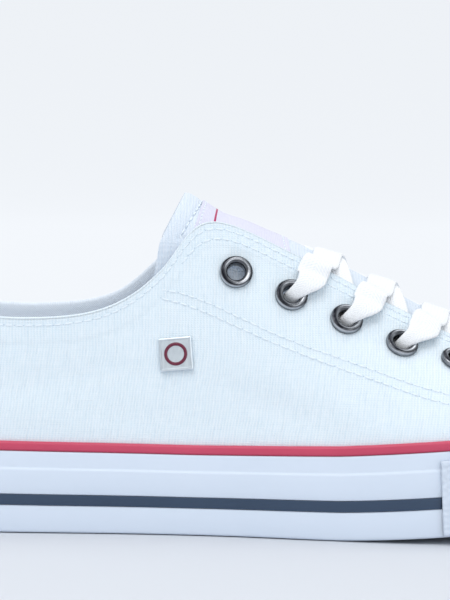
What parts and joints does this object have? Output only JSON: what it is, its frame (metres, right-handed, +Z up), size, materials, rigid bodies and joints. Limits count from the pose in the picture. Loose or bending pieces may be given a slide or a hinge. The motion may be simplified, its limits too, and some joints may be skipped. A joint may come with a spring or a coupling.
{
  "type": "canvas sneaker",
  "caption": "Low canvas sneaker, right shoe: hollow laced upper with tongue and metal eyelets on a rubber sole with sidewall, toe bumper, stripe and insole.",
  "frame": {"origin": "on the floor under the middle of the shoe's box", "axes": "+X towards the toe, +Y towards the medial side, +Z up from the floor"},
  "size_m": [0.2702, 0.0986, 0.0961],
  "materials": {
    "outsole_rubber": "moulded, matt",
    "footbed_cloth": "woven",
    "sidewall_rubber": "smooth, satin",
    "piping_rubber": "satin",
    "stripe_rubber": "satin",
    "bumper_rubber": "pebbled and ribbed",
    "canvas": "ribbed cotton canvas with a grey lining",
    "cap_rubber": "smooth, satin",
    "label_cloth": "fine woven",
    "eyelet_metal": "dark plated",
    "lace_cotton": "flat braid",
    "badge_metal": "brushed, with a dark red enamel ring"
  },
  "bodies": {
    "root": {"outsole": "outsole_rubber", "insole": "footbed_cloth", "sidewall": "sidewall_rubber", "sidewall_piping": "piping_rubber", "sidewall_stripe": "stripe_rubber", "toe_bumper": "bumper_rubber", "upper": "canvas", "toe_cap": "cap_rubber", "heel_stay": "canvas", "tongue": "canvas", "tongue_label": "label_cloth", "eyelet_lateral_1": "eyelet_metal", "eyelet_lateral_2": "eyelet_metal", "eyelet_lateral_3": "eyelet_metal", "eyelet_lateral_4": "eyelet_metal", "eyelet_lateral_5": "eyelet_metal", "eyelet_lateral_6": "eyelet_metal", "eyelet_medial_1": "eyelet_metal", "eyelet_medial_2": "eyelet_metal", "eyelet_medial_3": "eyelet_metal", "eyelet_medial_4": "eyelet_metal", "eyelet_medial_5": "eyelet_metal", "eyelet_medial_6": "eyelet_metal", "lace_crossing_2": "lace_cotton", "lace_crossing_3": "lace_cotton", "lace_crossing_4": "lace_cotton", "lace_crossing_5": "lace_cotton", "lace_bar": "lace_cotton", "badge": "badge_metal"}
  },
  "joints": []
}
